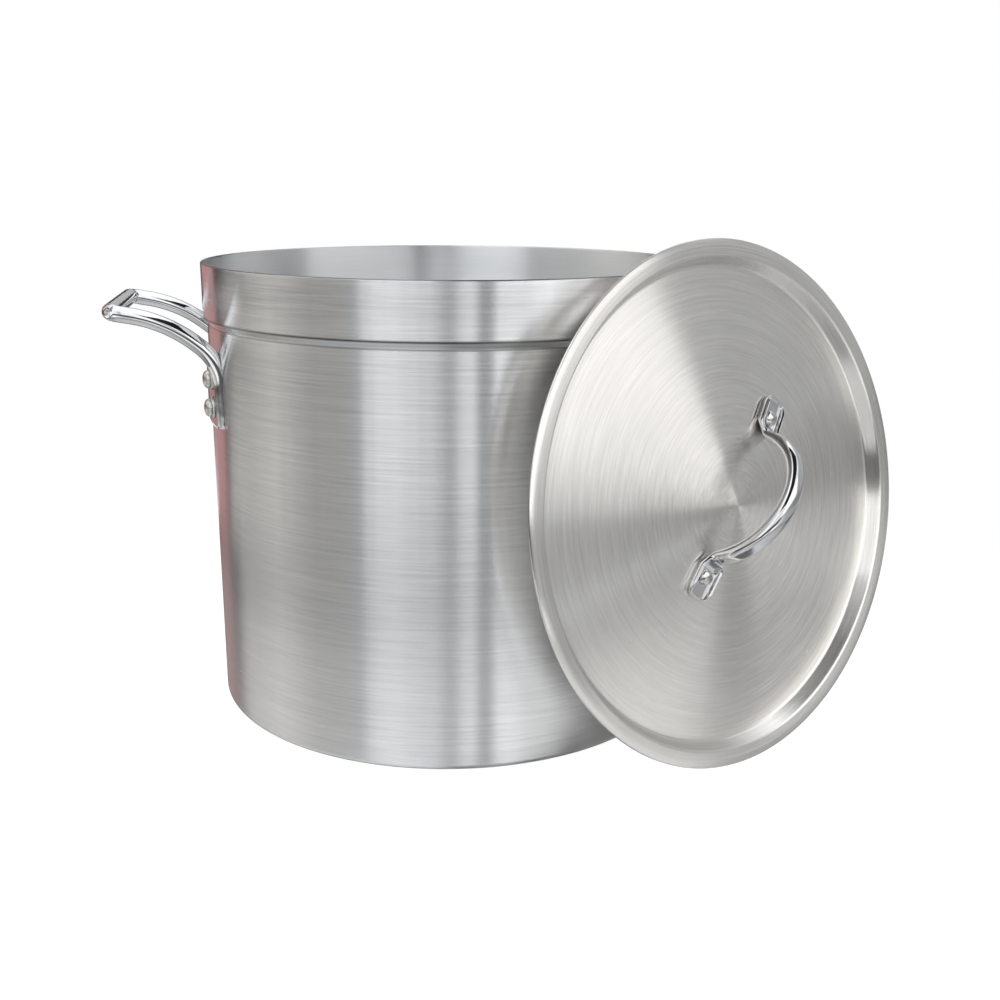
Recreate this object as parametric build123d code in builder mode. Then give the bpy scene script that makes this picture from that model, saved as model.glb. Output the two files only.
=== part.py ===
from build123d import *
from math import atan, cos, radians, sin, tan
import os

os.makedirs("parts", exist_ok=True)

# Stock pot, millimetres. Origin at the centre of the base's underside, +Z up, loop handles along X.
# The lid stands on its edge beside the pot and leans towards it.

# Pot
pot_height = 324.0
body_radius = 177.2
band_radius = 180.0
wall = 3.0
base_thickness = 4.0
base_corner = 5.0
step_top = 287.2
step_drop = 6.0
rim_round = 1.0

# Loop handles, described for the one along +X
bar_radius = 5.65
bar_offset = 58.0
rib_foot = (165.3, 214.0)
rib_top = (166.8, 259.9)
bar_shoulder = (200.4, 287.6)
crossbar_place = (237.2, 294.1)
rib_bend = 36.0
shoulder_bend = 90.0
corner_bend = 6.2
web_bottom = 212.0
web_top = 258.0
web_thickness = 2.2
web_corner = 5.0
seat_gap = 0.05

# Handle rivets and washers
rivet_angle = 14.5
rivet_levels = (226.0, 246.0)
shank_radius = 3.2
hole_radius = 3.3
head_radius = 6.35
head_height = 4.4
head_round = 2.2
inner_head_height = 2.0
washer_radius = 7.6
washer_thickness = 1.8

# Lid, with its own axes: local Z points out of the lid's upper face
lid_radius = 175.4
lid_thickness = 2.0
flange_inner = 164.0
recess_radius = 159.5
recess_depth = 10.0
dome_rise = 4.0
apex_flat = 5.0
lid_lean = 9.76
lid_turn = -61.32
lid_distance = 233.7
lid_bearing = -44.0

# Lid handle
bow_turn = 51.25
bow_shift = 7.0
bow_radius = 47.0
bow_sink = 3.0
bow_start = 15.0
bow_flare = 6.5
bow_width = 13.0
bow_depth = 10.0
foot_inner = 46.0
foot_outer = 77.0
foot_width = 19.5
foot_height = 5.6
foot_floor = 1.6
foot_rim = 2.4
foot_heel = 6.4
foot_end_rim = 1.8
foot_corner = 5.0
lid_rivet_reach = 61.0
lid_shank_radius = 2.5
lid_hole_radius = 2.6
lid_head_radius = 5.5
lid_head_height = 3.8


def finish(piece, name):
    """Label a finished piece and write it to its own file."""
    piece.part.label = name
    export_step(piece.part, f"parts/{name}.step")


def wall_profile(radius_below, radius_above, bottom, top):
    """Wall line from bottom to top with the S-shaped step below the rim."""
    middle = step_top - step_drop / 2
    half = (radius_below + radius_above) / 2
    Line((radius_below, bottom), (radius_below, step_top - step_drop))
    Spline(
        (radius_below, step_top - step_drop),
        (half, middle),
        (radius_above, step_top),
        tangents=((0, 1), (0, 1)),
    )
    Line((radius_above, step_top), (radius_above, top))


def rivet_plane(side, column, level, reach):
    """Plane on a handle rivet's axis, its Z pointing out of the pot."""
    angle = radians(column * rivet_angle)
    outward = (side * cos(angle), side * sin(angle), 0)
    origin = (reach * outward[0], reach * outward[1], level)
    return Plane(origin=origin, x_dir=(0, 0, 1), z_dir=outward)


rivet_places = [
    (side, column, level) for side in (-1, 1) for column in (-1, 1) for level in rivet_levels
]

# ---------------------------------------------------------------- pot shell
with BuildPart() as pot_shell:
    with BuildSketch(Plane.XZ):
        with BuildLine():
            wall_profile(body_radius, band_radius, 0, pot_height)
            Line((band_radius, pot_height), (0, pot_height))
            Line((0, pot_height), (0, 0))
            Line((0, 0), (body_radius, 0))
        make_face()
    revolve(axis=Axis.Z)
    fillet(pot_shell.edges().group_by(Axis.Z)[0], radius=base_corner)
    with BuildSketch(Plane.XZ):
        with BuildLine():
            wall_profile(body_radius - wall, band_radius - wall, base_thickness, pot_height)
            Line((band_radius - wall, pot_height), (0, pot_height))
            Line((0, pot_height), (0, base_thickness))
            Line((0, base_thickness), (body_radius - wall, base_thickness))
        make_face()
    revolve(axis=Axis.Z, mode=Mode.SUBTRACT)
    inner_corner = pot_shell.edges().filter_by(GeomType.CIRCLE).filter_by_position(
        Axis.Z, base_thickness - 0.1, base_thickness + 0.1
    )
    fillet(inner_corner, radius=base_corner - 1)
    fillet(pot_shell.edges().group_by(Axis.Z)[-1], radius=rim_round)
    for place in rivet_places:
        with BuildSketch(rivet_plane(*place, reach=body_radius - 2 * wall)):
            Circle(hole_radius)
        extrude(amount=3 * wall, mode=Mode.SUBTRACT)
finish(pot_shell, "pot_shell")

# ------------------------------------------------------------- loop handles
bar_corners = (rib_foot, rib_top, bar_shoulder, crossbar_place)


def loop_handle(side):
    """Pressed loop: ribs up the wall, two bars out to a crossbar, and a web between the ribs."""
    with BuildPart() as handle:
        with BuildLine() as route:
            FilletPolyline(
                [(side * reach, -bar_offset, height) for reach, height in bar_corners]
                + [(side * reach, bar_offset, height) for reach, height in reversed(bar_corners)],
                radius=[rib_bend, shoulder_bend, corner_bend, corner_bend, shoulder_bend, rib_bend],
            )
        with BuildSketch(Plane(origin=route.line @ 0, z_dir=route.line % 0)):
            Circle(bar_radius)
        sweep()
        with BuildSketch(Plane.XY.offset(web_bottom)):
            Circle(body_radius + web_thickness)
        web_height = web_top - web_bottom
        half_web = bar_offset + bar_radius
        web = extrude(amount=web_height, mode=Mode.PRIVATE)
        with BuildSketch(Plane.YZ, mode=Mode.PRIVATE) as web_outline:
            with Locations((0, (web_bottom + web_top) / 2)):
                RectangleRounded(2 * half_web, web_height, web_corner)
        outline = extrude(web_outline.sketch, amount=side * (body_radius + 10), mode=Mode.PRIVATE)
        add(web & outline)
        with BuildSketch(Plane.XY):
            Circle(body_radius + seat_gap)
        extrude(amount=step_top - step_drop, mode=Mode.SUBTRACT)
        for place in rivet_places:
            if place[0] == side:
                with BuildSketch(rivet_plane(*place, reach=body_radius - wall)):
                    Circle(hole_radius)
                extrude(amount=3 * wall, mode=Mode.SUBTRACT)
    return handle


for side, side_name in ((-1, "left"), (1, "right")):
    finish(loop_handle(side), f"handle_{side_name}")


# ------------------------------------------------------ rivets and washers
def rivet(face_plane, grip, shank, head, dome, tail):
    """Solid rivet: the plane lies under its outer head, and its tail ends grip + tail below."""
    with BuildPart() as piece:
        with BuildSketch(face_plane):
            Circle(head)
        extrude(amount=dome)
        fillet(piece.faces().sort_by(Axis(face_plane.origin, face_plane.z_dir))[-1].edges(), head_round)
        with BuildSketch(face_plane):
            Circle(shank)
        extrude(amount=-grip)
        with BuildSketch(face_plane.offset(-grip)):
            Circle(head - tail / 2)
        extrude(amount=-tail)
    return piece


def washer(face_plane, outer, inner, thickness):
    """Flat washer standing on the plane."""
    with BuildPart() as piece:
        with BuildSketch(face_plane):
            Circle(outer)
            Circle(inner, mode=Mode.SUBTRACT)
        extrude(amount=thickness)
    return piece


web_face = body_radius + web_thickness + 2 * seat_gap
head_face = web_face + washer_thickness + seat_gap
pot_grip = head_face - (body_radius - wall - 3 * seat_gap)
side_names = {-1: "left", 1: "right"}
for number, place in enumerate(rivet_places):
    label = f"{side_names[place[0]]}_{number % 4 + 1}"
    finish(
        rivet(
            rivet_plane(*place, head_face),
            pot_grip,
            shank_radius,
            head_radius,
            head_height,
            inner_head_height,
        ),
        f"rivet_{label}",
    )
    finish(
        washer(rivet_plane(*place, web_face), washer_radius, hole_radius, washer_thickness),
        f"washer_{label}",
    )

# -------------------------------------------------------------- lid frame
turn = radians(lid_turn)
lean = radians(lid_lean)
lid_normal = Vector(cos(turn) * cos(lean), sin(turn) * cos(lean), sin(lean))
lid_across = Vector(-sin(turn), cos(turn), 0)
lid_centre = Vector(
    lid_distance * cos(radians(lid_bearing)),
    lid_distance * sin(radians(lid_bearing)),
    lid_radius * cos(lean) + lid_thickness * sin(lean),
)
lid_plane = Plane(origin=lid_centre, x_dir=lid_across, z_dir=lid_normal)
lid_axis = Axis(lid_centre, lid_normal)
lid_section = Plane(origin=lid_centre, x_dir=lid_across, z_dir=-lid_plane.y_dir)
cone_angle = atan((dome_rise + recess_depth) / (recess_radius - apex_flat))


def dome_height(radius):
    """Height of the dome's upper face above the flange's upper face."""
    return dome_rise - (radius - apex_flat) * tan(cone_angle)


def foot_plane(end, lift):
    """Plane on the sloping dome under one foot, X outward along the slope."""
    reach = bow_shift + end * lid_rivet_reach
    along = lid_plane.x_dir.rotate(lid_axis, bow_turn)
    outward = along * end * cos(cone_angle) - lid_normal * sin(cone_angle)
    up = lid_normal * cos(cone_angle) + along * end * sin(cone_angle)
    origin = lid_centre + along * reach + lid_normal * dome_height(abs(reach)) + up * lift
    return Plane(origin=origin, x_dir=outward, z_dir=up)


# ------------------------------------------------------------------- lid
foot_lift = 2 * seat_gap
with BuildPart() as lid_shell:
    with BuildSketch(lid_section):
        with BuildLine():
            FilletPolyline(
                (lid_radius, 0),
                (flange_inner, 0),
                (recess_radius, -recess_depth),
                (apex_flat, dome_rise),
                (0, dome_rise),
                radius=[2.5, 3, 40],
            )
            offset(amount=lid_thickness, side=Side.LEFT, kind=Kind.INTERSECTION)
        make_face()
    revolve(axis=lid_axis)
    for end in (-1, 1):
        with BuildSketch(foot_plane(end, -2 * lid_thickness)):
            Circle(lid_hole_radius)
        extrude(amount=3 * lid_thickness, mode=Mode.SUBTRACT)
finish(lid_shell, "lid_shell")

bow_along = lid_plane.x_dir.rotate(lid_axis, bow_turn)
bow_plane = Plane(
    origin=lid_centre + bow_along * bow_shift,
    x_dir=bow_along,
    z_dir=bow_along.cross(lid_normal),
)
with BuildPart() as lid_handle:
    with BuildLine(bow_plane) as bow_route:
        crown = CenterArc((0, -bow_sink), bow_radius, bow_start, 180 - 2 * bow_start)
        flare_turn = 90 - bow_start
        JernArc(crown @ 0, -(crown % 0), bow_flare, flare_turn)
        JernArc(crown @ 1, crown % 1, bow_flare, -flare_turn)
    with BuildSketch(Plane(origin=crown @ 0.5, x_dir=bow_plane.z_dir, z_dir=crown % 0.5)):
        Ellipse(bow_width / 2, bow_depth / 2)
    sweep()
    for end in (-1, 1):
        length = foot_outer - foot_inner
        middle = (foot_outer + foot_inner) / 2 - lid_rivet_reach
        with BuildSketch(foot_plane(end, foot_lift)):
            with Locations((middle, 0)):
                foot_outline = Rectangle(length, foot_width)
            chamfer(foot_outline.vertices().sort_by(Axis.X)[-2:], foot_corner)
        extrude(amount=foot_height)
        with BuildSketch(foot_plane(end, foot_lift + foot_floor)):
            with Locations((middle + (foot_heel - foot_end_rim) / 2, 0)):
                trough = Rectangle(length - foot_heel - foot_end_rim, foot_width - 2 * foot_rim)
            chamfer(trough.vertices().sort_by(Axis.X)[-2:], foot_corner - 1)
        extrude(amount=2 * foot_height, mode=Mode.SUBTRACT)
        with BuildSketch(foot_plane(end, -foot_height)):
            Circle(lid_hole_radius)
        extrude(amount=3 * foot_height, mode=Mode.SUBTRACT)
    with BuildSketch(lid_section):
        with BuildLine():
            Polyline(
                (0, dome_rise + foot_lift),
                (apex_flat, dome_rise + foot_lift),
                (recess_radius, foot_lift - recess_depth),
                (0, -recess_depth),
                close=True,
            )
        make_face()
    revolve(axis=lid_axis, mode=Mode.SUBTRACT)
finish(lid_handle, "lid_handle")

for number, end in enumerate((-1, 1)):
    lid_grip = foot_floor + foot_lift + lid_thickness + 3 * seat_gap
    finish(
        rivet(
            foot_plane(end, foot_lift + foot_floor + seat_gap),
            lid_grip,
            lid_shank_radius,
            lid_head_radius,
            lid_head_height,
            inner_head_height,
        ),
        f"lid_rivet_{number + 1}",
    )
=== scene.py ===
from math import atan, cos, pi, radians, sin, sqrt, tan

import bmesh
import bpy
from mathutils import Matrix, Vector


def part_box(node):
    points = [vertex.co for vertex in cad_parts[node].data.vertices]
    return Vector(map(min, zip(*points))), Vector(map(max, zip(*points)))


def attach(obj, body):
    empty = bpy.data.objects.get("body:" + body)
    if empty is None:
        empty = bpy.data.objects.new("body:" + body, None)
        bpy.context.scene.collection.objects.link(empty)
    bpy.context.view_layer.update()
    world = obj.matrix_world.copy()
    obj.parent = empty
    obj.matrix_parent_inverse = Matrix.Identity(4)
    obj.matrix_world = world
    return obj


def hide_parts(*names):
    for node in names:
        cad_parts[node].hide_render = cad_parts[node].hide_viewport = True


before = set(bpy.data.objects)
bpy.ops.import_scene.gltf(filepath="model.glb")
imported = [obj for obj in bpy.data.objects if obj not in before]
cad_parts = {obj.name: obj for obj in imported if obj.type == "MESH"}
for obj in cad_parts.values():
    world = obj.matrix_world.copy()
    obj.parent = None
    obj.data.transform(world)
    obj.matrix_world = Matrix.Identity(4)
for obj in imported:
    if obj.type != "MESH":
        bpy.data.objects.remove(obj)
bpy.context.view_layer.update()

# ---------------------------------------------------------------- sizes, metres
pot_low, pot_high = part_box("pot_shell")
RIM_RADIUS = pot_high.x
POT_HEIGHT = pot_high.z
BODY_RADIUS = 0.1772
WALL = 0.003
BASE_THICKNESS = 0.004
BASE_CORNER = 0.005
STEP_TOP = 0.2872
STEP_DROP = 0.006
RIM_ROUND = 0.001

BAR_RADIUS = 0.00565
BAR_OFFSET = 0.058
RIB_FOOT = (0.1653, 0.214)
RIB_TOP = (0.1668, 0.2599)
BAR_SHOULDER = (0.2004, 0.2876)
CROSSBAR = (0.2372, 0.2941)
RIB_BEND = 0.036
SHOULDER_BEND = 0.090
CORNER_BEND = 0.0062
BAR_POINTS = 28
SEAT_GAP = 0.00005
WEB_BOTTOM = 0.212
WEB_TOP = 0.258
WEB_THICKNESS = 0.0022

LID_RADIUS = 0.1754
LID_THICKNESS = 0.002
FLANGE_INNER = 0.164
RECESS_RADIUS = 0.1595
RECESS_DEPTH = 0.010
DOME_RISE = 0.004
APEX_FLAT = 0.005
LID_LEAN = radians(9.76)
LID_TURN = radians(-61.32)
LID_DISTANCE = 0.2337
LID_BEARING = radians(-44.0)

BOW_TURN = radians(51.25)
BOW_SHIFT = 0.007
BOW_RADIUS = 0.047
BOW_SINK = 0.003
BOW_START = radians(15)
BOW_FLARE = 0.0065
FOOT_INNER = 0.046
FOOT_OUTER = 0.077
FOOT_HALF = 0.00975
FOOT_HEIGHT = 0.0056
FOOT_FLOOR = 0.0016
FOOT_WALL = 0.0015
FOOT_ROUND = 0.0085
BOW_HALF_WIDTH = 0.0065
BOW_DOME = 0.0048
BOW_BELLY = 0.0042
NECK_SLIMMING = 0.3
FACE_POINTS = 48
LID_RIVET_REACH = 0.061
LID_SHANK = 0.0025
LID_HEAD_RADIUS = 0.0055
LID_HEAD_HEIGHT = 0.0038
LID_TAIL_RADIUS = 0.0045
CONE_ANGLE = atan((DOME_RISE + RECESS_DEPTH) / (RECESS_RADIUS - APEX_FLAT))

AROUND = 360
FASTENER_AROUND = 40


# ---------------------------------------------------------------- node helpers
class Nodes:
    """Short way to write a material's node tree."""

    def __init__(self, tree):
        self.tree = tree

    def add(self, kind, settings=None, **inputs):
        node = self.tree.nodes.new(kind)
        for key, value in (settings or {}).items():
            setattr(node, key, value)
        for key, value in inputs.items():
            self.put(node, key.replace("_", " "), value)
        return node

    def put(self, node, key, value):
        socket = node.inputs[int(key[1:])] if key[0] == "i" and key[1:].isdigit() else node.inputs[key]
        if isinstance(value, bpy.types.NodeSocket):
            self.tree.links.new(value, socket)
        else:
            socket.default_value = value

    def math(self, operation, first, second=0.0, third=None):
        node = self.add("ShaderNodeMath", {"operation": operation}, i0=first, i1=second)
        if third is not None:
            self.put(node, "i2", third)
        return node.outputs[0]

    def spread(self, value, low, high):
        """Maps 0..1 to low..high, without clamping."""
        return self.math("MULTIPLY_ADD", value, high - low, low)

    def noise(self, vector, scale, detail=2.0, roughness=0.5, distortion=0.0):
        node = self.add(
            "ShaderNodeTexNoise",
            Vector=vector,
            Scale=scale,
            Detail=detail,
            Roughness=roughness,
            Distortion=distortion,
        )
        return node.outputs["Fac"]

    def blend(self, factor, first, second):
        """First colour at factor 0, second at 1."""
        return self.add("ShaderNodeMix", {"data_type": "RGBA"}, i0=factor, i6=first, i7=second).outputs[2]

    def ramp(self, value, stops):
        node = self.add("ShaderNodeValToRGB", Fac=value)
        ramp = node.color_ramp
        while len(ramp.elements) < len(stops):
            ramp.elements.new(0.5)
        for element, (place, colour) in zip(ramp.elements, stops):
            element.position = place
            element.color = colour if len(colour) == 4 else (*colour, 1.0)
        return node.outputs["Color"]


def grey(value):
    return (value, value, value)


def new_material(name):
    material = bpy.data.materials.new(name)
    material.use_nodes = True
    nodes = Nodes(material.node_tree)
    shader = material.node_tree.nodes["Principled BSDF"]
    return material, nodes, shader


DARK_LINE = 0.84
LIGHT_LINE = 1.08
# near-black grey of the darker rings: painted shade in the step and a darker line on the rim
DARK_RING_GREY = (0.10, 0.10, 0.10, 1)
# paler, faintly blue inside colour: partly painted light for the brighter light inside the pot
INSIDE_PALE_AND_LIT = (0.95, 0.96, 0.97, 1)


def turned_coordinates(nodes, centre, axes):
    """Place, offsets along the two cross axes, height and radius about a turning axis."""
    place = nodes.add("ShaderNodeTexCoord").outputs["Object"]
    offset = nodes.add("ShaderNodeVectorMath", {"operation": "SUBTRACT"}, i0=place, i1=centre).outputs[0]
    x, y, z = (
        nodes.add("ShaderNodeVectorMath", {"operation": "DOT_PRODUCT"}, i0=offset, i1=axis).outputs["Value"]
        for axis in axes
    )
    square = nodes.math("ADD", nodes.math("MULTIPLY", x, x), nodes.math("MULTIPLY", y, y))
    radius = nodes.math("SQRT", square)
    return place, offset, x, y, z, radius


def turned_metal(name, colour, roughness, centre, axes, dark_rings=(), paler_lit_inside=False):
    """Aluminium brushed in circles about the last of the axes, with darker rings (painted shade in the step,
    a darker line on the rim) and a paler inside that is partly painted light.
    """
    material, nodes, shader = new_material(name)
    place, offset, x, y, z, radius = turned_coordinates(nodes, centre, axes)
    inverse = nodes.math("DIVIDE", 1.0, nodes.math("MAXIMUM", radius, 0.002))
    way_x = nodes.math("MULTIPLY", x, inverse)
    way_y = nodes.math("MULTIPLY", y, inverse)
    run = nodes.math("ADD", z, radius)

    def lines(along, across):
        """Noise drawn out along the brush lines, its scales per radian and per metre."""
        spot = nodes.add(
            "ShaderNodeCombineXYZ",
            X=nodes.math("MULTIPLY", way_x, along),
            Y=nodes.math("MULTIPLY", way_y, along),
            Z=nodes.math("MULTIPLY", run, across),
        ).outputs[0]
        return nodes.noise(spot, 1.0, 2.0, 0.6)

    grain = lines(3.4, 950.0)
    streak = lines(1.8, 520.0)
    cloud = nodes.noise(place, 9.0, 3.0, 0.55)
    scratch = nodes.ramp(lines(9.0, 520.0), [(0.71, grey(0)), (0.78, grey(1))])
    mixed = nodes.math("ADD", nodes.math("MULTIPLY", grain, 0.65), nodes.math("MULTIPLY", streak, 0.35))
    tone = nodes.math("ADD", nodes.math("MULTIPLY", mixed, 0.75), nodes.math("MULTIPLY", cloud, 0.25))
    dark = tuple(channel * DARK_LINE for channel in colour)
    light = tuple(min(1.0, channel * LIGHT_LINE) for channel in colour)
    base = nodes.ramp(tone, [(0.30, dark), (0.70, light)])
    rough = nodes.spread(mixed, roughness - 0.025, roughness + 0.025)
    rough = nodes.math("ADD", rough, nodes.math("MULTIPLY", scratch, 0.04))
    for level, half, depth in dark_rings:
        # a darker, duller ring at one height, uneven round the piece: painted shade in the step, a plain
        # darker line on the cut rim
        off = nodes.math("ABSOLUTE", nodes.math("SUBTRACT", z, level))
        ring = nodes.math("SUBTRACT", 1.0, nodes.math("DIVIDE", off, half))
        uneven = nodes.spread(nodes.noise(place, 7.0, 2.0), depth * 0.2, depth * 1.8)
        share = nodes.math("MULTIPLY", nodes.math("MAXIMUM", ring, 0.0), uneven)
        share = nodes.math("MINIMUM", share, 1.0)
        base = nodes.blend(share, base, DARK_RING_GREY)
        rough = nodes.math("MULTIPLY_ADD", share, 0.15, rough)
    if paler_lit_inside:
        # the inside keeps a duller skin than the brushed outside; its paler, faintly blue colour is painted
        # light for the brighter light within the pot
        share = nodes.math("DIVIDE", nodes.math("SUBTRACT", z, STEP_TOP - STEP_DROP), STEP_DROP)
        share = nodes.math("MINIMUM", nodes.math("MAXIMUM", share, 0.0), 1.0)
        middle = nodes.spread(share, BODY_RADIUS - WALL / 2, RIM_RADIUS - WALL / 2)
        within = nodes.math("MULTIPLY", nodes.math("LESS_THAN", radius, middle), 0.7)
        base = nodes.blend(within, base, INSIDE_PALE_AND_LIT)
        rough = nodes.math("MULTIPLY_ADD", within, 0.16, rough)
    nodes.put(shader, "Base Color", base)
    shader.inputs["Metallic"].default_value = 1.0
    nodes.put(shader, "Roughness", rough)
    shader.inputs["Anisotropic"].default_value = 1.0
    shader.inputs["Anisotropic Rotation"].default_value = 0.25
    around = nodes.add("ShaderNodeVectorMath", {"operation": "CROSS_PRODUCT"}, i0=axes[2], i1=offset)
    around = nodes.add("ShaderNodeVectorMath", {"operation": "NORMALIZE"}, i0=around.outputs[0])
    turn = {"vector_type": "VECTOR", "convert_from": "OBJECT", "convert_to": "WORLD"}
    tangent = nodes.add("ShaderNodeVectorTransform", turn, Vector=around.outputs[0])
    nodes.put(shader, "Tangent", tangent.outputs[0])
    height = nodes.math("ADD", nodes.math("MULTIPLY", grain, 0.7), nodes.math("MULTIPLY", scratch, 0.3))
    bump = nodes.add("ShaderNodeBump", Strength=0.06, Distance=0.0001, Height=height)
    slow = nodes.noise(place, 14.0, 2.0, 0.5)
    wave = nodes.add("ShaderNodeBump", Strength=0.03, Distance=0.003, Height=slow, Normal=bump.outputs[0])
    nodes.put(shader, "Normal", wave.outputs[0])
    return material


def polished_steel():
    """Bright pressed steel with fine polishing lines and a faint unevenness."""
    material, nodes, shader = new_material("polished_steel")
    place = nodes.add("ShaderNodeTexCoord").outputs["Object"]
    cloud = nodes.noise(place, 60.0, 3.0, 0.55)
    nodes.put(shader, "Base Color", nodes.ramp(cloud, [(0.3, (0.62, 0.62, 0.63)), (0.7, (0.72, 0.72, 0.72))]))
    shader.inputs["Metallic"].default_value = 1.0
    nodes.put(shader, "Roughness", nodes.spread(nodes.noise(place, 420.0, 3.0, 0.6), 0.02, 0.09))
    lines = nodes.add("ShaderNodeMapping", Vector=place, Scale=(240.0, 240.0, 900.0)).outputs[0]
    fine = nodes.add("ShaderNodeBump", Strength=0.05, Distance=0.00008, Height=nodes.noise(lines, 1.0, 2.0))
    slow = nodes.noise(place, 95.0, 1.0)
    dent = nodes.add("ShaderNodeBump", Strength=0.12, Distance=0.0010, Height=slow, Normal=fine.outputs[0])
    nodes.put(shader, "Normal", dent.outputs[0])
    return material


def rivet_metal(name, smoothest, roughest, dimples):
    """Aluminium dimpled by the rivet set."""
    material, nodes, shader = new_material(name)
    place = nodes.add("ShaderNodeTexCoord").outputs["Object"]
    cloud = nodes.noise(place, 420.0, 4.0, 0.6)
    nodes.put(shader, "Base Color", nodes.ramp(cloud, [(0.3, (0.52, 0.51, 0.49)), (0.7, (0.78, 0.77, 0.75))]))
    shader.inputs["Metallic"].default_value = 1.0
    nodes.put(shader, "Roughness", nodes.spread(cloud, smoothest, roughest))
    dimple = nodes.noise(place, 300.0, 2.0, 0.5)
    bump = nodes.add("ShaderNodeBump", Strength=dimples, Distance=0.0006, Height=dimple)
    nodes.put(shader, "Normal", bump.outputs[0])
    return material


# height, half width and strength of each darker ring: three of painted shade in the step, one darker line on
# the cut rim
STEP_SHADE_AND_RIM_RINGS = (
    (0.2866, 0.0014, 0.85),
    (0.2840, 0.0032, 0.35),
    (0.2815, 0.0010, 0.45),
    (0.3240, 0.0009, 1.0),
)
UPRIGHT = ((1, 0, 0), (0, 1, 0), (0, 0, 1))
wall_metal = turned_metal("wall_aluminium", (0.875, 0.88, 0.88), 0.24, (0, 0, 0), UPRIGHT, STEP_SHADE_AND_RIM_RINGS, True)
steel = polished_steel()
rivet_grey = rivet_metal("rivet_metal", 0.24, 0.46, 0.35)
rivet_bright = rivet_metal("bright_rivet_metal", 0.06, 0.20, 0.22)


# ---------------------------------------------------------------- mesh helpers
def mesh_piece(name, vertices, faces, material, matrix=None):
    """Object from vertices and faces, shaded smooth, its normals made to point outward."""
    mesh = bpy.data.meshes.new(name)
    mesh.from_pydata([tuple(v) for v in vertices], [], faces)
    work = bmesh.new()
    work.from_mesh(mesh)
    bmesh.ops.remove_doubles(work, verts=work.verts, dist=1e-7)
    bmesh.ops.recalc_face_normals(work, faces=work.faces)
    for face in work.faces:
        face.smooth = True
    work.to_mesh(mesh)
    work.free()
    mesh.materials.append(material)
    piece = bpy.data.objects.new(name, mesh)
    bpy.context.scene.collection.objects.link(piece)
    if matrix is not None:
        piece.matrix_world = matrix
    return piece


def arc(centre, radius, start, end, steps):
    """Points on an arc, angles in degrees."""
    points = []
    for i in range(steps + 1):
        angle = radians(start + (end - start) * i / steps)
        points.append((centre[0] + radius * cos(angle), centre[1] + radius * sin(angle)))
    return points


def lathe(name, profile, material, matrix=None, around=AROUND):
    """Turns a closed (radius, height) profile about Z. Points on the axis become one vertex."""
    rings = []
    vertices = []
    for radius, height in profile:
        if radius < 1e-9:
            rings.append([len(vertices)] * around)
            vertices.append((0.0, 0.0, height))
            continue
        rings.append(list(range(len(vertices), len(vertices) + around)))
        for k in range(around):
            angle = 2 * pi * k / around
            vertices.append((radius * cos(angle), radius * sin(angle), height))
    faces = []
    for a, b in zip(rings, rings[1:] + rings[:1]):
        for k in range(around):
            n = (k + 1) % around
            corners = []
            for index in (a[k], a[n], b[n], b[k]):
                if index not in corners:
                    corners.append(index)
            if len(corners) > 2:
                faces.append(corners)
    return mesh_piece(name, vertices, faces, material, matrix)


def loft(name, sections, material):
    """Skin over equal-length closed sections, capped at both ends."""
    count = len(sections[0])
    vertices = [point for section in sections for point in section]
    faces = []
    for s in range(len(sections) - 1):
        for k in range(count):
            n = (k + 1) % count
            faces.append((s * count + k, s * count + n, (s + 1) * count + n, (s + 1) * count + k))
    last = (len(sections) - 1) * count
    faces.append(tuple(reversed(range(count))))
    faces.append(tuple(range(last, last + count)))
    return mesh_piece(name, vertices, faces, material)


def smooth_step(value):
    value = min(1.0, max(0.0, value))
    return value * value * (3 - 2 * value)


def line_points(start, end, spacing=0.012):
    """Points from start to end on a straight line, no further apart than the spacing."""
    length = sqrt((end[0] - start[0]) ** 2 + (end[1] - start[1]) ** 2)
    steps = max(1, int(length / spacing))
    return [
        (start[0] + (end[0] - start[0]) * i / steps, start[1] + (end[1] - start[1]) * i / steps)
        for i in range(steps + 1)
    ]


# ---------------------------------------------------------------- pot shell
def step_points(below, above):
    """The S-shaped step in the wall, from below to above."""
    points = []
    for i in range(13):
        share = i / 12
        points.append((below + (above - below) * smooth_step(share), STEP_TOP - STEP_DROP * (1 - share)))
    return points


def pot_profile():
    inner_body = BODY_RADIUS - WALL
    inner_band = RIM_RADIUS - WALL
    inner_corner = BASE_CORNER - 0.001
    points = [(0.0, 0.0), (0.004, 0.0)]
    points += line_points((0.02, 0.0), (BODY_RADIUS - BASE_CORNER, 0.0), 0.03)
    points += arc((BODY_RADIUS - BASE_CORNER, BASE_CORNER), BASE_CORNER, -90, 0, 10)[1:]
    points += line_points((BODY_RADIUS, BASE_CORNER), (BODY_RADIUS, STEP_TOP - STEP_DROP))[1:]
    points += step_points(BODY_RADIUS, RIM_RADIUS)[1:]
    points += line_points((RIM_RADIUS, STEP_TOP), (RIM_RADIUS, POT_HEIGHT - RIM_ROUND))[1:]
    points += arc((RIM_RADIUS - RIM_ROUND, POT_HEIGHT - RIM_ROUND), RIM_ROUND, 0, 90, 6)[1:]
    points += arc((inner_band + RIM_ROUND, POT_HEIGHT - RIM_ROUND), RIM_ROUND, 90, 180, 6)
    points += line_points((inner_band, POT_HEIGHT - RIM_ROUND), (inner_band, STEP_TOP))[1:]
    points += list(reversed(step_points(inner_body, inner_band)))[1:]
    low = BASE_THICKNESS + inner_corner
    points += line_points((inner_body, STEP_TOP - STEP_DROP), (inner_body, low))[1:]
    points += arc((inner_body - inner_corner, low), inner_corner, 0, -90, 8)[1:]
    points += line_points((inner_body - inner_corner, BASE_THICKNESS), (0.02, BASE_THICKNESS), 0.03)[1:]
    points += [(0.004, BASE_THICKNESS), (0.0, BASE_THICKNESS)]
    return points


pot = lathe("stock_pot_shell", pot_profile(), wall_metal)
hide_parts("pot_shell")
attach(pot, "pot")


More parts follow.
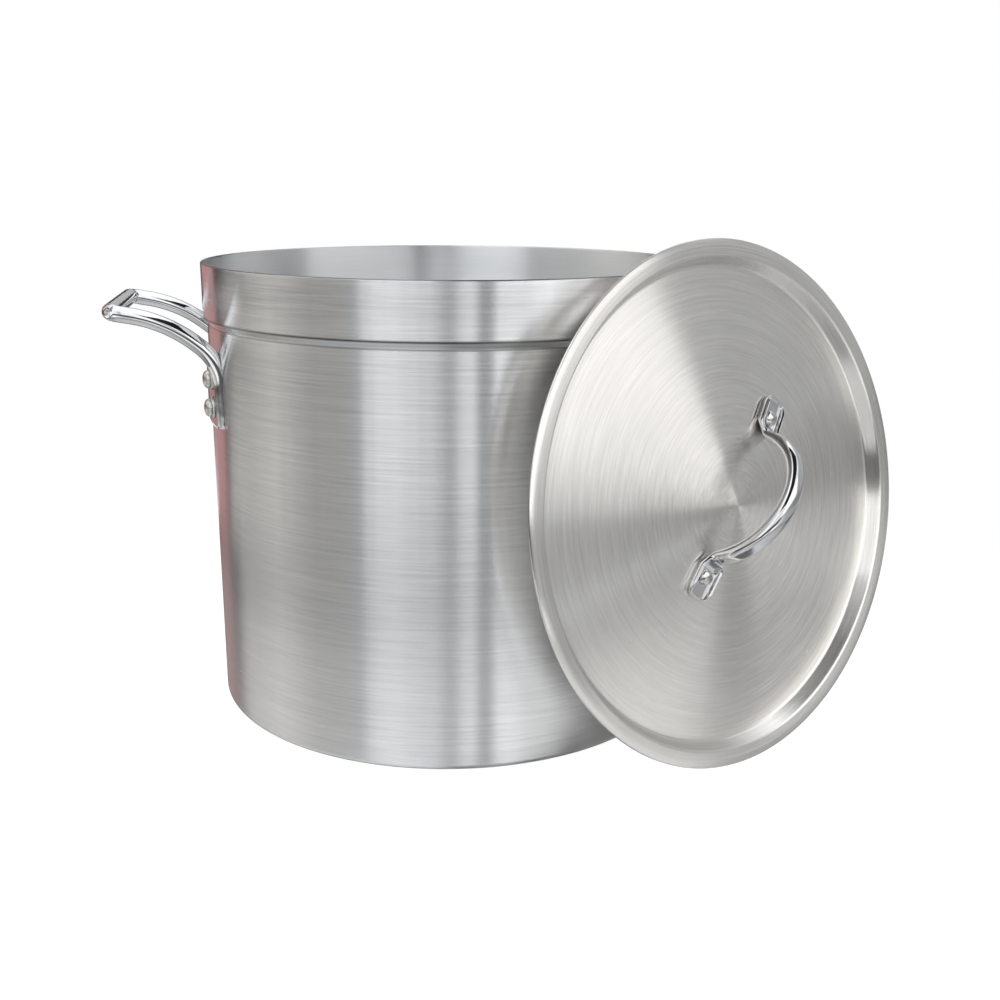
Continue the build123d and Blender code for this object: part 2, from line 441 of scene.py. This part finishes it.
# ---------------------------------------------------------------- loop handles
def rounded_route(corners, bends, spacing=0.0022):
    """Points along straight runs joined by tangent arcs of the given radii."""
    corners = [Vector(c) for c in corners]
    points = [corners[0]]
    for i, bend in enumerate(bends):
        before, corner, after = corners[i], corners[i + 1], corners[i + 2]
        into = (corner - before).normalized()
        out = (after - corner).normalized()
        turn = into.angle(out)
        reach = bend * tan(turn / 2)
        start = corner - into * reach
        straight = (start - points[-1]).length
        runs = max(1, int(straight / spacing))
        first = points[-1]
        points += [first.lerp(start, (k + 1) / runs) for k in range(runs)]
        inward = (out - into * into.dot(out)).normalized()
        centre = start + inward * bend
        steps = max(6, int(bend * turn / spacing))
        for k in range(1, steps + 1):
            angle = turn * k / steps
            points.append(centre - inward * bend * cos(angle) + into * bend * sin(angle))
    first = points[-1]
    runs = max(1, int((corners[-1] - first).length / spacing))
    points += [first.lerp(corners[-1], (k + 1) / runs) for k in range(runs)]
    return points


def loop_handle(side, name):
    """Ribs, bars and crossbar of one pressed loop handle."""
    corners = (RIB_FOOT, RIB_TOP, BAR_SHOULDER, CROSSBAR)
    route = rounded_route(
        [(side * reach, -BAR_OFFSET, height) for reach, height in corners]
        + [(side * reach, BAR_OFFSET, height) for reach, height in reversed(corners)],
        [RIB_BEND, SHOULDER_BEND, CORNER_BEND, CORNER_BEND, SHOULDER_BEND, RIB_BEND],
    )
    seat = BODY_RADIUS + SEAT_GAP
    sections = []
    for i, point in enumerate(route):
        ahead = (route[min(i + 1, len(route) - 1)] - route[max(i - 1, 0)]).normalized()
        # the section's own frame: level across the bar, and upright to both
        across = Vector((0, 1, 0)) if abs(ahead.y) < 0.7 else Vector((side, 0, 0))
        across = (across - ahead * across.dot(ahead)).normalized()
        upright = ahead.cross(across).normalized()
        ring = []
        for k in range(BAR_POINTS):
            angle = 2 * pi * k / BAR_POINTS
            c, s = cos(angle), sin(angle)
            spot = point + across * BAR_RADIUS * c + upright * BAR_RADIUS * s
            flat = sqrt(spot.x ** 2 + spot.y ** 2)
            if flat < seat and spot.z < STEP_TOP - STEP_DROP:
                spot = Vector((spot.x * seat / flat, spot.y * seat / flat, spot.z))
            ring.append(spot)
        sections.append(ring)
    return loft(name, sections, steel)


def web_plate(side, name):
    """Web between a handle's ribs, curved to the wall, its edges slightly rounded."""
    half = BAR_OFFSET - 0.001
    columns, rows = 48, 22
    inner_radius = BODY_RADIUS + SEAT_GAP
    outer_radius = BODY_RADIUS + WEB_THICKNESS
    edge = 0.0012
    corner = 0.005
    vertices = []
    for layer in range(2):
        for j in range(rows + 1):
            for i in range(columns + 1):
                along = -1 + 2 * i / columns
                up = j / rows
                y = half * along
                trim = max(0.0, abs(y) - (half - corner))
                lift = corner - sqrt(max(0.0, corner ** 2 - trim ** 2))
                bottom = WEB_BOTTOM + lift
                top = WEB_TOP - lift
                z = bottom + (top - bottom) * up
                near = min(z - bottom, top - z)
                drop = edge * (1 - smooth_step(near / edge)) * 0.5 if layer else 0
                radius = outer_radius - drop if layer else inner_radius
                x = sqrt(radius ** 2 - y ** 2)
                vertices.append((side * x, y, z))
    width = columns + 1
    sheet = (rows + 1) * width
    faces = []
    for layer in range(2):
        for j in range(rows):
            for i in range(columns):
                a = layer * sheet + j * width + i
                faces.append((a, a + 1, a + width + 1, a + width))
    border = [i for i in range(width)]
    border += [j * width + columns for j in range(1, rows + 1)]
    border += [rows * width + i for i in range(columns - 1, -1, -1)]
    border += [j * width for j in range(rows - 1, 0, -1)]
    for a, b in zip(border, border[1:] + border[:1]):
        faces.append((a, b, b + sheet, a + sheet))
    return mesh_piece(name, vertices, faces, steel)


for side, side_name in ((-1, "left"), (1, "right")):
    loop = loop_handle(side, f"loop_handle_{side_name}")
    web = web_plate(side, f"handle_web_{side_name}")
    for piece in (loop, web):
        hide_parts(f"handle_{side_name}")
        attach(piece, "pot")


# ---------------------------------------------------------------- rivets and washers
RIVET_ANGLE = radians(14.5)
RIVET_LEVELS = (0.226, 0.246)
SHANK_RADIUS = 0.0032
HEAD_RADIUS = 0.00635
HEAD_HEIGHT = 0.0044
WASHER_RADIUS = 0.0076
WASHER_THICKNESS = 0.0018
INNER_HEAD = 0.002
WEB_FACE = BODY_RADIUS + WEB_THICKNESS + 2 * SEAT_GAP
HEAD_FACE = WEB_FACE + WASHER_THICKNESS + SEAT_GAP


def button_profile(shank, head, dome, grip, tail_radius, tail):
    """Rivet outline: domed head above 0, shank and flat tail head below."""
    points = [(0.0, dome)]
    for i in range(1, 13):
        share = i / 12
        points.append((head * sin(share * pi / 2) * 0.98, dome * (0.30 + 0.70 * cos(share * pi / 2))))
    points += [(head, dome * 0.22), (head, dome * 0.06), (head - 0.0002, 0.0), (shank, 0.0), (shank, -grip)]
    points += [(tail_radius - 0.0003, -grip), (tail_radius, -grip - 0.0003)]
    points += [(tail_radius, -grip - tail + 0.0004)]
    points += [(tail_radius - 0.0004, -grip - tail), (0.0, -grip - tail)]
    return points


def radial_matrix(side, column, level, reach):
    angle = column * RIVET_ANGLE
    outward = Vector((side * cos(angle), side * sin(angle), 0))
    up = Vector((0, 0, 1))
    basis = Matrix((up, outward.cross(up), outward)).transposed().to_4x4()
    return Matrix.Translation((reach * outward.x, reach * outward.y, level)) @ basis


grip = HEAD_FACE - (BODY_RADIUS - WALL - 3 * SEAT_GAP)
for side, side_name in ((-1, "left"), (1, "right")):
    number = 0
    for column in (-1, 1):
        for level in RIVET_LEVELS:
            number += 1
            rivet = lathe(
                f"pot_rivet_{side_name}_{number}",
                button_profile(SHANK_RADIUS, HEAD_RADIUS, HEAD_HEIGHT, grip, HEAD_RADIUS - 0.001, INNER_HEAD),
                rivet_grey,
                radial_matrix(side, column, level, HEAD_FACE),
                FASTENER_AROUND,
            )
            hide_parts(f"rivet_{side_name}_{number}")
            ring = [
                (SHANK_RADIUS + 0.0001, 0.0),
                (WASHER_RADIUS - 0.0002, 0.0),
                (WASHER_RADIUS, 0.0003),
                (WASHER_RADIUS, WASHER_THICKNESS - 0.0003),
                (WASHER_RADIUS - 0.0003, WASHER_THICKNESS),
                (SHANK_RADIUS + 0.0001, WASHER_THICKNESS),
            ]
            washer = lathe(
                f"pot_washer_{side_name}_{number}",
                ring,
                rivet_grey,
                radial_matrix(side, column, level, WEB_FACE),
                FASTENER_AROUND,
            )
            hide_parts(f"washer_{side_name}_{number}")
            for piece in (rivet, washer):
                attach(piece, "pot")

# ---------------------------------------------------------------- lid
lid_normal = Vector((cos(LID_TURN) * cos(LID_LEAN), sin(LID_TURN) * cos(LID_LEAN), sin(LID_LEAN)))
lid_across = Vector((-sin(LID_TURN), cos(LID_TURN), 0))
lid_up = lid_normal.cross(lid_across)
lid_centre = Vector(
    (
        LID_DISTANCE * cos(LID_BEARING),
        LID_DISTANCE * sin(LID_BEARING),
        LID_RADIUS * cos(LID_LEAN) + LID_THICKNESS * sin(LID_LEAN),
    )
)
lid_axes = (lid_across, lid_up, lid_normal)
lid_matrix = Matrix.Translation(lid_centre) @ Matrix(lid_axes).transposed().to_4x4()  # lid's own frame
lid_metal = turned_metal("lid_aluminium", (0.92, 0.90, 0.865), 0.25, lid_centre, lid_axes)


def lid_profile():
    """Closed profile of the lid: upper face out to in, then the lower face back."""
    corners = [
        (LID_RADIUS, 0.0),
        (FLANGE_INNER, 0.0),
        (RECESS_RADIUS, -RECESS_DEPTH),
        (APEX_FLAT, DOME_RISE),
        (0.0, DOME_RISE),
    ]
    upper = rounded_route([(r, h, 0) for r, h in corners], [0.0025, 0.003, 0.040], 0.004)
    lower = []
    for i, point in enumerate(upper):
        ahead = (upper[min(i + 1, len(upper) - 1)] - upper[max(i - 1, 0)]).normalized()
        below = Vector((-ahead.y, ahead.x, 0))
        lower.append(point + below * LID_THICKNESS)
    lower[0].x = LID_RADIUS
    lower[-1].x = 0.0
    edge = 0.0005
    profile = [(p.x, p.y) for p in upper]
    profile[0] = (LID_RADIUS - edge, 0.0)
    back = [(p.x, p.y) for p in lower]
    back[0] = (LID_RADIUS - edge, -LID_THICKNESS)
    rim = [(LID_RADIUS, -LID_THICKNESS + edge), (LID_RADIUS, -edge)]
    return profile + list(reversed(back)) + rim


lid = lathe("lid_shell_turned", lid_profile(), lid_metal)
lid.data.transform(lid_matrix)
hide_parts("lid_shell")
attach(lid, "lid")


def dome_height(radius):
    return DOME_RISE - (radius - APEX_FLAT) * tan(CONE_ANGLE)


# ---------------------------------------------------------------- lid handle
bow_along = lid_across * cos(BOW_TURN) + lid_up * sin(BOW_TURN)
bow_side = bow_along.cross(lid_normal)
FOOT_LIFT = 2 * SEAT_GAP


def bow_stations():
    """Middle line of half the bow, from the crown down through the flare: (along, height)."""
    flare_turn = pi / 2 - BOW_START
    crown = (0.0, -BOW_SINK)
    end = (BOW_RADIUS * cos(BOW_START), crown[1] + BOW_RADIUS * sin(BOW_START))
    half = []
    steps = 40
    for i in range(steps + 1):
        angle = pi / 2 + (BOW_START - pi / 2) * i / steps
        half.append((BOW_RADIUS * cos(angle), crown[1] + BOW_RADIUS * sin(angle)))
    centre = (end[0] + BOW_FLARE * cos(BOW_START), end[1] + BOW_FLARE * sin(BOW_START))
    for i in range(1, 15):
        angle = pi + BOW_START + flare_turn * i / 14
        half.append((centre[0] + BOW_FLARE * cos(angle), centre[1] + BOW_FLARE * sin(angle)))
    return half


def bow_handle(name):
    """One lofted skin: trough-shaped foot, flare, half-round bow, flare, foot."""
    half = bow_stations()
    level = half[-1][1]
    start = half[-1][0]
    curve = FOOT_OUTER - FOOT_ROUND
    reaches = [start + (curve - start) * i / 30 for i in range(1, 31)]
    reaches += [curve + FOOT_ROUND * sin(pi / 2 * i / 20) for i in range(1, 21)]
    for along in reaches:
        half.append((along, level + (along - start) * -tan(CONE_ANGLE)))
    stations = [(-a, h) for a, h in reversed(half[1:])] + half
    sections = []
    count = len(stations)
    for i, (along, height) in enumerate(stations):
        a0, h0 = stations[max(i - 1, 0)]
        a1, h1 = stations[min(i + 1, count - 1)]
        ahead = (bow_along * (a1 - a0) + lid_normal * (h1 - h0)).normalized()
        outer = ahead.cross(bow_side)
        outside = lid_normal + bow_along * (0.3 if along > 0 else -0.3)
        outer = -outer if outer.dot(outside) < 0 else outer
        reach = abs(along)
        slim = 1 - NECK_SLIMMING * smooth_step((reach - 0.040) / 0.009)
        flat = smooth_step((reach - (FOOT_INNER + 0.002)) / 0.008)
        tip = max(0.0, (reach - (FOOT_OUTER - FOOT_ROUND)) / FOOT_ROUND)
        width = BOW_HALF_WIDTH + (FOOT_HALF - BOW_HALF_WIDTH) * smooth_step((reach - 0.0455) / 0.010)
        width *= 0.33 + 0.67 * sqrt(max(0.0, 1 - tip ** 2))
        end_wall = smooth_step((reach - (FOOT_OUTER - 0.0030)) / 0.0010)
        brim = FOOT_HEIGHT - 0.0022 * smooth_step((reach - (FOOT_OUTER - 0.009)) / 0.008)
        brim -= 0.0009 * smooth_step((reach - (FOOT_OUTER - 0.0008)) / 0.0008)
        middle = lid_centre + bow_along * (BOW_SHIFT + along) + lid_normal * height
        bottom = lid_centre + bow_along * (BOW_SHIFT + along)
        bottom += lid_normal * (dome_height(abs(BOW_SHIFT + along)) + FOOT_LIFT)
        ring = []
        for k in range(FACE_POINTS + 1):
            across = -1 + 2 * k / FACE_POINTS
            inner = 1 - FOOT_WALL / width
            side_wall = smooth_step((abs(across) - inner + 0.04) / 0.08)
            cup = FOOT_FLOOR + (brim - FOOT_FLOOR) * max(side_wall, end_wall)
            cup -= 0.0007 * smooth_step((abs(across) - 0.93) / 0.07)
            dome = BOW_DOME * slim * max(0.0, 1 - abs(across) ** 2.6) ** 0.5
            bow_point = middle + outer * dome + bow_side * across * width
            foot_point = bottom + lid_normal * cup + bow_side * across * width
            ring.append(bow_point.lerp(foot_point, flat))
        for k in range(1, FACE_POINTS):
            across = 1 - 2 * k / FACE_POINTS
            belly = BOW_BELLY * slim * max(0.0, 1 - abs(across) ** 4) ** 0.5
            bow_point = middle - outer * belly + bow_side * across * width
            foot_point = bottom + bow_side * across * width
            ring.append(bow_point.lerp(foot_point, flat))
        sections.append(ring)
    return loft(name, sections, steel)


handle = bow_handle("lid_bow_handle")
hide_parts("lid_handle")
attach(handle, "lid")

for number, end in enumerate((-1, 1)):
    reach = BOW_SHIFT + end * LID_RIVET_REACH
    up = (lid_normal * cos(CONE_ANGLE) + bow_along * end * sin(CONE_ANGLE)).normalized()
    place = lid_centre + bow_along * reach + lid_normal * dome_height(abs(reach))
    place += up * (FOOT_LIFT + FOOT_FLOOR + SEAT_GAP)
    basis = Matrix((bow_side, up.cross(bow_side), up)).transposed().to_4x4()
    lid_grip = FOOT_FLOOR + FOOT_LIFT + LID_THICKNESS + 3 * SEAT_GAP
    rivet = lathe(
        f"lid_rivet_domed_{number + 1}",
        button_profile(LID_SHANK, LID_HEAD_RADIUS, LID_HEAD_HEIGHT, lid_grip, LID_TAIL_RADIUS, INNER_HEAD),
        rivet_bright,
        Matrix.Translation(place) @ basis,
        FASTENER_AROUND,
    )
    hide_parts(f"lid_rivet_{number + 1}")
    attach(rivet, "lid")

# ---------------------------------------------------------------- floor
floor_material, nodes, shader = new_material("pale_floor")
place = nodes.add("ShaderNodeTexCoord").outputs["Object"]
away = nodes.add("ShaderNodeVectorMath", {"operation": "LENGTH"}, i0=place).outputs["Value"]
away = nodes.math("MULTIPLY_ADD", nodes.noise(place, 3.0), 0.05, away)
# floor colour falls off away from its middle: a painted pool of light that shows in the pot's reflections;
# camera rays see the floor white
floor_tones = [(0.25, grey(0.66)), (0.42, grey(0.55)), (0.60, grey(0.26))]
nodes.put(shader, "Base Color", nodes.ramp(away, floor_tones))
shader.inputs["Metallic"].default_value = 0.65
shader.inputs["Roughness"].default_value = 0.16
shader.inputs["Emission Color"].default_value = (1, 1, 1, 1)
seen = nodes.add("ShaderNodeLightPath").outputs["Is Camera Ray"]
nodes.put(shader, "Emission Strength", nodes.spread(seen, 0.0, 0.95))
FLOOR_RADIUS = 0.62
FLOOR_POINTS = 128
rim = []
for k in range(FLOOR_POINTS):
    angle = 2 * pi * k / FLOOR_POINTS
    rim.append((FLOOR_RADIUS * cos(angle), FLOOR_RADIUS * sin(angle), 0))
floor_place = Matrix.Translation((0.04, -0.05, -0.0001))
floor = mesh_piece("floor", rim, [tuple(range(FLOOR_POINTS))], floor_material, floor_place)

# black flag above the lid's whole travel, unseen by the camera: it draws the dark streak down the bow
flag_material, nodes, shader = new_material("black_flag")
place = nodes.add("ShaderNodeTexCoord").outputs["Object"]
flag_tones = [(0.3, grey(0.010)), (0.7, grey(0.016))]
nodes.put(shader, "Base Color", nodes.ramp(nodes.noise(place, 9.0), flag_tones))
shader.inputs["Roughness"].default_value = 0.9
FLAG = [
    (0.693, -0.013, 0.836),
    (0.068, 0.096, 0.836),
    (-0.204, -0.775, 0.782),
    (0.231, -0.992, 0.782),
]
flag = mesh_piece("flag", FLAG, [(0, 1, 2, 3)], flag_material)
flag.visible_camera = False

# ---------------------------------------------------------------- light
world = bpy.data.worlds.new("studio")
bpy.context.scene.world = world
world.use_nodes = True
sky = Nodes(world.node_tree)
background = world.node_tree.nodes["Background"]

# Brightness of the studio's walls by bearing in degrees, from +X towards +Y
STUDIO = [
    (0, 0.46), (30, 0.52), (60, 0.60), (85, 1.10), (97, 1.25), (104, 0.95), (109, 0.62), (115, 0.52),
    (132, 0.52), (136, 0.88), (156, 0.88), (170, 1.05), (179, 0.92), (196, 0.58), (213, 0.59), (220, 0.68),
    (222, 1.18), (228, 1.46), (240, 1.44), (245, 1.26), (255, 1.14), (261, 0.72), (265, 0.92), (268, 1.50),
    (273, 1.50), (276, 0.60), (280, 0.60), (284, 1.80), (292, 1.76), (305, 1.20), (318, 0.62), (345, 0.44),
]
HALF_WAY = 16  # a colour ramp holds 32 stops at most, so the list is cut in two here


def window(direction, low, high, soft):
    """1 between low and high, falling to 0 over the soft edge."""
    share = None
    for edge, flip in ((low, False), (high, True)):
        rise = sky.add(
            "ShaderNodeMapRange",
            {"interpolation_type": "SMOOTHSTEP"},
            Value=direction,
            From_Min=edge - soft,
            From_Max=edge + soft,
            To_Min=1.0 if flip else 0.0,
            To_Max=0.0 if flip else 1.0,
        ).outputs[0]
        share = rise if share is None else sky.math("MULTIPLY", share, rise)
    return share


way = sky.add("ShaderNodeTexCoord").outputs["Generated"]
way_x, way_y, way_z = sky.add("ShaderNodeSeparateXYZ", Vector=way).outputs
bearing = sky.math("DEGREES", sky.math("ARCTAN2", way_y, way_x))
turned = sky.math("MULTIPLY", sky.math("FRACT", sky.math("DIVIDE", bearing, 360.0)), 360.0)
rise = sky.math("DEGREES", sky.math("ARCSINE", way_z))
halves = []
for part in (STUDIO[: HALF_WAY + 1], STUDIO[HALF_WAY:] + [(360, STUDIO[0][1])]):
    low, high = part[0][0], part[-1][0]
    share = sky.math("DIVIDE", sky.math("SUBTRACT", turned, low), high - low)
    halves.append(sky.ramp(share, [((place - low) / (high - low), grey(level)) for place, level in part]))
walls = sky.blend(sky.math("GREATER_THAN", turned, STUDIO[HALF_WAY][0]), *halves)
ceiling = sky.ramp(sky.math("DIVIDE", rise, 90.0), [(0.37, grey(0)), (0.66, grey(1))])
stripes = sky.add("ShaderNodeTexNoise", {"noise_dimensions": "1D"}, W=turned, Scale=0.40, Detail=3.0)
stripes = sky.spread(stripes.outputs[0], 0.55, 1.45)
walls = sky.add("ShaderNodeVectorMath", {"operation": "SCALE"}, i0=walls, Scale=stripes).outputs[0]
tint = sky.blend(window(turned, 128, 214, 6), (0.985, 1.0, 1.012, 1), (1.025, 1.0, 0.955, 1))
walls = sky.add("ShaderNodeVectorMath", {"operation": "MULTIPLY"}, i0=walls, i1=tint).outputs[0]
dark_skirting = sky.math("MULTIPLY", window(rise, -13, 6, 2), window(turned, 62, 300, 8))
room = sky.blend(sky.math("MULTIPLY", dark_skirting, 0.90), walls, (0.04, 0.04, 0.04, 1))
right_skirting = sky.math("MULTIPLY", window(rise, -9, 3, 1.5), 0.34)
room = sky.blend(right_skirting, room, (0.05, 0.05, 0.05, 1))
dark_back = sky.math("MULTIPLY", window(rise, -7, 30, 3), window(turned, 48, 139, 6))
room = sky.blend(sky.math("MULTIPLY", dark_back, 0.92), room, (0.05, 0.05, 0.05, 1))
back_lamp = sky.math("MULTIPLY", window(rise, 6.2, 14, 0.8), window(turned, 76, 103, 2))
room = sky.blend(back_lamp, room, (0.55, 0.55, 0.56, 1))
room = sky.blend(ceiling, room, (1.50, 1.54, 1.60, 1))
big_window = sky.math("MULTIPLY", window(turned, 302, 343, 3), window(rise, 7, 44, 3))
room = sky.blend(big_window, room, (1.50, 1.50, 1.50, 1))
red_strip = sky.math("MULTIPLY", window(turned, 106, 129, 2), window(rise, -60, 60, 5))
room = sky.blend(red_strip, room, (0.46, 0.26, 0.26, 1))
seen = sky.add("ShaderNodeLightPath").outputs["Is Camera Ray"]
sky.put(background, "Color", sky.blend(seen, room, (1, 1, 1, 1)))

bpy.context.scene.view_settings.view_transform = "Standard"

# ---------------------------------------------------------------- camera
CAMERA_DISTANCE = 0.9026
CAMERA_HEIGHT = 0.3856
CAMERA_BEARING = radians(7.45)
CAMERA_YAW = radians(2.395)
CAMERA_PITCH = radians(15.235)
CAMERA_ROLL = radians(0.40)
CAMERA_LENS = 43.2
CAMERA_SENSOR = 36.0
camera_data = bpy.data.cameras.new("camera")
camera_data.lens = CAMERA_LENS
camera_data.sensor_width = CAMERA_SENSOR
camera = bpy.data.objects.new("camera", camera_data)
bpy.context.scene.collection.objects.link(camera)
spot = Vector((-CAMERA_DISTANCE * sin(CAMERA_BEARING), -CAMERA_DISTANCE * cos(CAMERA_BEARING), CAMERA_HEIGHT))
camera.matrix_world = (
    Matrix.Translation(spot)
    @ Matrix.Rotation(-(CAMERA_BEARING + CAMERA_YAW), 4, "Z")
    @ Matrix.Rotation(pi / 2 - CAMERA_PITCH, 4, "X")
    @ Matrix.Rotation(CAMERA_ROLL, 4, "Z")
)
bpy.context.scene.camera = camera
